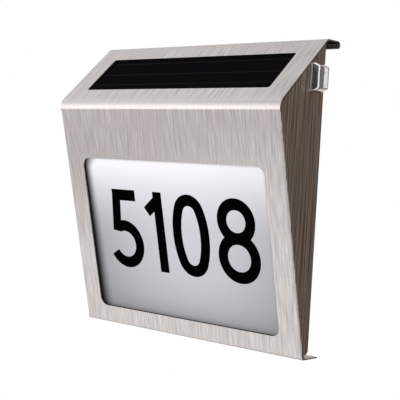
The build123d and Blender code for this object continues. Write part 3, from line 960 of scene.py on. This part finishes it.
# %% [markdown]
# ## Brushed steel
# Brushing leaves fine scratches along the sheet. They are streaks of noise: very fine across the
# grain and long along it. The grain runs down the front and the sides and from front to back on the
# top, so what is across is X, and on the sides Y. The streaks drive colour and roughness, and a little
# bump breaks up the mirror image. The right side mirrors something dark, in which scratches stand out,
# so its streaks are longer and it is duller, and their contrast in the colour is raised there as painted
# shade and light of that dark reflection. In the front bend the streaks are taken out of the colour, a
# painted highlight of the band of light. Broad patches take the steel from rosy to plain grey, so that
# no panel looks even.

# %% Streaks of the brushed sheet
side_facing = 0.7
front_facing = -0.6
bend_begin = (-0.2, -0.1)
bend_end = (0.3, 0.7)
depth_share = 0.4
streak_range = (0.3, 0.7)
fine_across, fine_along = 1450, 55
broad_across, broad_along, broad_seed = 480, 36, 5
right_across, right_along = 1100, 14


def grain(graph):
    """Fine and broad streaks from 0 to 1, and masks of the right side and of the front bend."""
    x, y, z = graph.place()
    facing = graph.geometry("True Normal")
    on_right = facing[0] > side_facing
    across = between(abs(facing[0]) > side_facing, x, y)
    along = z + y * depth_share
    fine = graph.noise(graph.join(across * fine_across, along * fine_along, 0), detail=3)
    broad_x = across * between(on_right, broad_across, right_across)
    broad_y = along * between(on_right, broad_along, right_along)
    broad = graph.noise(graph.join(broad_x, broad_y, broad_seed), detail=2)
    rise = graph.geometry("Normal")[2]
    past_front = graph.spread(rise, *bend_begin)
    before_top = graph.spread(rise, *bend_end, 1.0, 0.0)
    on_bend = past_front * before_top * (facing[1] < front_facing)
    return graph.spread(fine, *streak_range), graph.spread(broad, *streak_range), on_right, on_bend


print("fine streaks are about", round(1 / fine_across / mm, 2), "mm wide")

# %% Brushed steel
rosy_dark, rosy_light = (0.355, 0.32, 0.315, 1), (0.585, 0.53, 0.52, 1)
plain_dark, plain_light = (0.35, 0.337, 0.324, 1), (0.575, 0.555, 0.533, 1)
patches_per_metre = 22
patch_range = (0.46, 0.82)
broad_share, right_broad_share = 0.22, 0.8
# painted shade and light: the right side's streak contrast in the colour is raised to stand for its dark
# reflection
contrast, right_painted_contrast, bend_painted_highlight = 0.92, 2.62, 0.8
steel_rough, right_rough, streak_gloss = 0.25, 0.5, 0.08
scratch_depth, scratch_strength = 0.06 * mm, 0.6


def brushed_steel():
    material, graph = finish("brushed_steel")
    fine, broad, on_right, on_bend = grain(graph)
    mixed = between(between(on_right, broad_share, right_broad_share), fine, broad)
    # painted highlight: in the front bend the streaks fade out of the colour, where the band of light
    # lies
    streak = 0.5 + (mixed - 0.5) * (between(on_right, contrast, right_painted_contrast) - on_bend * bend_painted_highlight)
    rosy = graph.blend(streak, rosy_dark, rosy_light)
    plain_grey = graph.blend(streak, plain_dark, plain_light)
    patch = graph.spread(graph.clouds(patches_per_metre), *patch_range)
    graph.surface({"Base Color": graph.blend(patch, rosy, plain_grey), "Metallic": 1.0,
                   "Roughness": between(on_right, steel_rough, right_rough) - streak * streak_gloss,
                   "Normal": graph.bump(fine, scratch_depth, scratch_strength)})
    return material


def coat(piece, material):
    """Give a piece its only material."""
    piece.data.materials.clear()
    piece.data.materials.append(material)


def dress(name, material):
    """Give a CAD node its finish."""
    coat(nodes[name], material)


coat(housing, brushed_steel())
print("steel is ready")

# %% [markdown]
# ## The lit board and its figures
# The board is milky plastic. Small lamps behind its upper edge light it from within, and that light is
# painted into the board as emission: it glows white at the top and fades to grey at the bottom and
# towards its sides, with a thin painted shadow right under the window's top edge. Its left edge lies in
# the shade of the window's rim, most of all in the upper corner, and that shade is painted into both its
# colour and its glow. So it has a pale grey of its own, painted near black at the left edge, and painted
# light that falls off with the way down and near the edges. The figures are dull black film.

# %% Light of the board
# painted light and shadow: the glow is dim at the very top, in the window edge's shadow, and fades
# downwards
glow_levels = ((0.0, 0.35), (0.015, 0.84), (0.05, 0.82), (0.21, 0.63), (0.4, 0.51),
               (0.72, 0.45), (0.87, 0.37), (0.97, 0.25), (1.0, 0.16))
glow_tint = (0.985, 0.965, 1.02)
glow_middle, glow_reach = 15 * mm, 100 * mm
side_loss, side_loss_down = 0.6, (0, 0.6)
right_loss, right_loss_x = 0.1, (10 * mm, 80 * mm)
left_start, left_shade, left_growth = -1.6 * mm, 6.8 * mm, 4.5 * mm
corner_shade, corner_down = 7.0 * mm, (0, 0.07)
right_shade = (-3 * mm, 4 * mm)


def down_board(graph):
    """How far down the window a point lies, from 0 to 1, and its X."""
    x, y, z = graph.place()
    down = (y - corner.y) * sin(lean) - (z - corner.z) * cos(lean)
    return (down - window_start) * (1 / window_height), x


def board_glow(graph):
    """The light painted into the board as emission, and a mask that is 0 in the painted shade at its
    left edge.
    """
    down, x = down_board(graph)
    aside = (x - glow_middle) * (1 / glow_reach)
    fade = 1 - graph.spread(down, *side_loss_down) * aside * aside * side_loss
    fade = fade - graph.spread(x, *right_loss_x) * right_loss
    shade = left_shade + down * left_growth + graph.spread(down, *corner_down, corner_shade, 0.0)
    left = graph.spread(x + window_width / 2, left_start, shade)
    right = graph.spread(window_width / 2 - x, *right_shade)
    level = graph.ramp(down, [(place, grey(tone)) for place, tone in glow_levels])
    glow = graph.vectors("SCALE", {0: level, "Scale": fade * left * right})
    return graph.vectors("MULTIPLY", {0: glow, 1: glow_tint}), left


print("board glows at", glow_levels[1][1], "at its top and", glow_levels[-1][1], "at its foot")

# %% Board and figures
board_dark, board_light = (0.19, 0.19, 0.2, 1), (0.21, 0.21, 0.22, 1)
board_in_shade = (0.03, 0.028, 0.032, 1)


def opal_board():
    material, graph = finish("opal_board")
    glow, left = board_glow(graph)
    cloud = graph.clouds(90)
    # painted shade: the colour goes near black at the left edge, where the window's rim shades the board
    colour = graph.blend(left, board_in_shade, graph.blend(cloud, board_dark, board_light))
    graph.surface({"Base Color": colour, "Roughness": 0.42 + cloud * 0.06, "Specular IOR Level": 0.15,
                   "Emission Color": glow, "Emission Strength": 1.0})
    return material


def black_film():
    material, graph = finish("black_film")
    cloud = graph.clouds(260)
    colour = graph.blend(cloud, grey(0.001), grey(0.002))
    graph.surface({"Base Color": colour, "Roughness": 0.42 + cloud * 0.1, "Specular IOR Level": 0.0})
    return material


dress("number_board", opal_board())
film = black_film()
for figure in figures:
    coat(figure, film)
print("board and", len(figures), "figures are ready")

# %% [markdown]
# ## The solar panel
# The cells are near black under a dull film. Three thin silver lines run along the panel: the fingers
# that collect the current. They lie in the cells, so they are colour and not shape.

# %% Solar panel
line_places = (21.4 * mm, 32.4 * mm, 44.7 * mm)
line_half = 0.16 * mm
line_colour = (0.03, 0.034, 0.03, 1)
cell_dark, cell_light = (0.0055, 0.0048, 0.0055, 1), (0.0075, 0.0064, 0.0075, 1)
cell_across, cell_along = 900, 60


def solar_cells():
    material, graph = finish("solar_cells")
    x, y, z = graph.place()
    up = (y - corner.y) * cos(slope) + (z - corner.z) * sin(slope)
    line = 0
    for place in line_places:
        line = line + (abs(up - place) < line_half)
    grains = graph.noise(graph.join(x * cell_across, up * cell_along, 0))
    colour = graph.blend(line, graph.blend(grains, cell_dark, cell_light), line_colour)
    graph.surface({"Base Color": colour, "Roughness": 0.4 + grains * 0.08, "Specular IOR Level": 0.0})
    return material


dress("solar_panel", solar_cells())
print("solar panel is ready, with", len(line_places), "lines")

# %% [markdown]
# ## Clear plastic
# The cap is clear and slightly soft in its gloss, as moulded plastic is. Light passes through it, so
# the black switch shows behind its walls. Its rounded edges and its rim gather the white of the room,
# so they are partly mirrors. Weather has dulled the outer face a little, so there a Mix Shader lays a
# share of a matt shader over the clear one.

# %% Clear plastic
cap_rim = 0.4 * mm
flat_facing = 0.97
edge_shine = 0.8
least_haze, haze_drift = 0.18, 0.15
dull_plastic = {"Base Color": grey(0.8), "Roughness": 0.5}


def clear_plastic():
    material, graph = finish("clear_plastic")
    haze = graph.clouds(400)
    x = graph.place()[0]
    facing = [abs(part) for part in graph.geometry("True Normal")]
    flattest = facing[0].or_more(facing[1]).or_more(facing[2])
    bright = (flattest < flat_facing).or_more(x < cap_low.x + cap_rim)
    outer_face = (x > cap_high.x - cap_wall / 2) * (facing[0] > flat_facing)
    graph.surface({"Base Color": WHITE, "Roughness": 0.02 + haze * 0.03, "IOR": 1.49,
                   "Metallic": bright * edge_shine, "Transmission Weight": 1.0},
                  over=dull_plastic, share=outer_face * (least_haze + haze * haze_drift))
    return material


coat(cap, clear_plastic())
print("cap is ready")

# %% [markdown]
# ## Small parts
# The rest is ordinary: foam, moulded plastic, plated and galvanised steel, a green circuit board,
# sleeves and leads. One function makes a plain finish from two colours, the size of its blotches and
# a fine moulded or plated grain. Those with a pattern of their own get their own function.

# %% Plain finishes
blotch_range = (0.3, 0.7)
rough_drift = 0.12


def plain(name, dark, light, rough, size, relief=0.0, metal=0.0, gloss=0.5):
    """Two close colours in blotches, with a grain of the same size in the roughness and the relief."""
    material, graph = finish(name)
    blotch = graph.clouds(1 / size, detail=4)
    sockets = {"Base Color": graph.blend(graph.spread(blotch, *blotch_range), dark, light),
               "Roughness": rough + (blotch - 0.5) * rough_drift, "Metallic": metal,
               "Specular IOR Level": gloss}
    if relief:
        sockets["Normal"] = graph.bump(blotch, relief)
    graph.surface(sockets)
    return material


foam = plain("black_foam", grey(0.006), grey(0.022),
             rough=0.9, size=0.7 * mm, relief=0.25 * mm, gloss=0.15)
white_plastic = plain("white_plastic", (0.68, 0.675, 0.655, 1), (0.75, 0.745, 0.73, 1),
                      rough=0.45, size=0.6 * mm, relief=0.02 * mm)
black_plastic = plain("black_plastic", grey(0.01), grey(0.018),
                      rough=0.38, size=0.5 * mm, relief=0.015 * mm)
zinc = plain("zinc_plate", (0.42, 0.43, 0.46, 1), (0.62, 0.63, 0.66, 1),
             rough=0.32, size=1.5 * mm, metal=1.0)
for name in ("board_gasket", "solar_gasket"):
    dress(name, foam)
for name in ("lamp_tray", "rear_cover"):
    dress(name, white_plastic)
for name in ("driver_chip", "boost_inductor", "switch_body", "switch_rocker"):
    dress(name, black_plastic)
for name in ("tray_studs", "tray_nuts", "circuit_screws", "battery_contact_negative",
             "battery_contact_positive", "switch_terminals"):
    dress(name, zinc)
for screw in foot_screws + cover_screws:
    coat(screw, zinc)
print("plain finishes are ready")

# %% Bracket, circuit board and lamps
flakes_per_metre = 160.0
track_pitch = 2.4 * mm
track_share = 0.35
track_sway, sways_per_metre = 2 * mm, 120
track_height = 0.03 * mm


def galvanised():
    """Zinc crystals grow in flakes, each with its own tone, and weather to a dull grey."""
    material, graph = finish("galvanised_steel")
    sockets = {"Vector": graph.point(), "Scale": flakes_per_metre}
    tone = graph.split(graph.node("ShaderNodeTexVoronoi", sockets=sockets, output="Color"))[0]
    colour = graph.blend(tone, (0.36, 0.37, 0.385, 1), (0.56, 0.57, 0.585, 1))
    graph.surface({"Base Color": colour, "Metallic": 0.5, "Roughness": 0.52 - tone * 0.14})
    return material


def circuit_laminate():
    """Green lacquer over copper tracks, which show as paler lines."""
    material, graph = finish("circuit_laminate")
    x, y, _ = graph.place()
    swing = graph.noise(graph.join(x * sways_per_metre, 0, 0))
    on_track = (abs(y + swing * track_sway) * (1 / track_pitch)).fraction() < track_share
    colour = graph.blend(on_track, (0.012, 0.075, 0.03, 1), (0.03, 0.15, 0.06, 1))
    graph.surface({"Base Color": colour, "Roughness": 0.3 + swing * 0.1,
                   "Normal": graph.bump(on_track, track_height)})
    return material


def lamp_epoxy():
    """Water-clear resin with the yellow of the phosphor deep inside."""
    material, graph = finish("lamp_epoxy")
    cloud = graph.clouds(700)
    colour = graph.blend(cloud, (0.9, 0.86, 0.62, 1), (0.96, 0.94, 0.8, 1))
    graph.surface({"Base Color": colour, "Roughness": 0.08 + cloud * 0.05, "IOR": 1.53,
                   "Transmission Weight": 0.6})
    return material


dress("wall_bracket", galvanised())
dress("circuit_board", circuit_laminate())
dress("led_lamps", lamp_epoxy())
print("bracket, circuit board and lamps are ready")

# %% Sleeves and leads
band_softness = 0.02
cell_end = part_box("battery_cell")[1].x
cell_band = 8 * mm
can_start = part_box("buffer_capacitor")[0].x
can_band = 2.4 * mm


def banded(name, place, width, sleeve, band, rough):
    """A shrunk sleeve in one colour with a band of another, at a place along X."""
    material, graph = finish(name)
    away = abs(graph.place()[0] - place)
    share = graph.spread(away, width * (0.5 - band_softness), width * (0.5 + band_softness), 1.0, 0.0)
    cloud = graph.clouds(300)
    graph.surface({"Base Color": graph.blend(share, sleeve, band), "Roughness": rough + cloud * 0.08})
    return material


def lead_sleeves(middle):
    """Red on one side of the pair's middle, black on the other."""
    material, graph = finish("lead_sleeve")
    cloud = graph.clouds(500)
    on_red = graph.place()[0] > middle
    colour = graph.blend(on_red, (0.012, 0.012, 0.013, 1), (0.42, 0.02, 0.016, 1))
    graph.surface({"Base Color": colour, "Roughness": 0.4 + cloud * 0.1})
    return material


dress("battery_cell", banded("cell_sleeve", cell_end - cell_band, cell_band,
                             sleeve=(0.05, 0.16, 0.07, 1), band=(0.62, 0.62, 0.58, 1), rough=0.32))
dress("buffer_capacitor", banded("can_sleeve", can_start, can_band,
                                 sleeve=(0.02, 0.03, 0.07, 1), band=(0.5, 0.5, 0.52, 1), rough=0.35))
for name in ("solar_leads", "switch_leads", "cell_leads"):
    low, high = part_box(name)
    dress(name, lead_sleeves((low.x + high.x) / 2))
print("sleeves and leads are ready")

# %% [markdown]
# ## Handing over
# The new housing, cap and screws stand for the CAD pieces of the same kind, which then no longer show.
# The figures stand for none and are simply added. All of them move with the housing.

# %% Hand over
fitted = [(housing, "steel_housing", "brushed_steel"), (cap, "switch_rain_cap", "clear_plastic")]
fitted += [(screw, "bottom_screws", "zinc_plate") for screw in foot_screws]
fitted += [(screw, "rear_cover_screws", "zinc_plate") for screw in cover_screws]
for piece, node, slot in fitted:
    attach(piece, "housing")
    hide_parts(node)
for figure in figures:
    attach(figure, "housing")
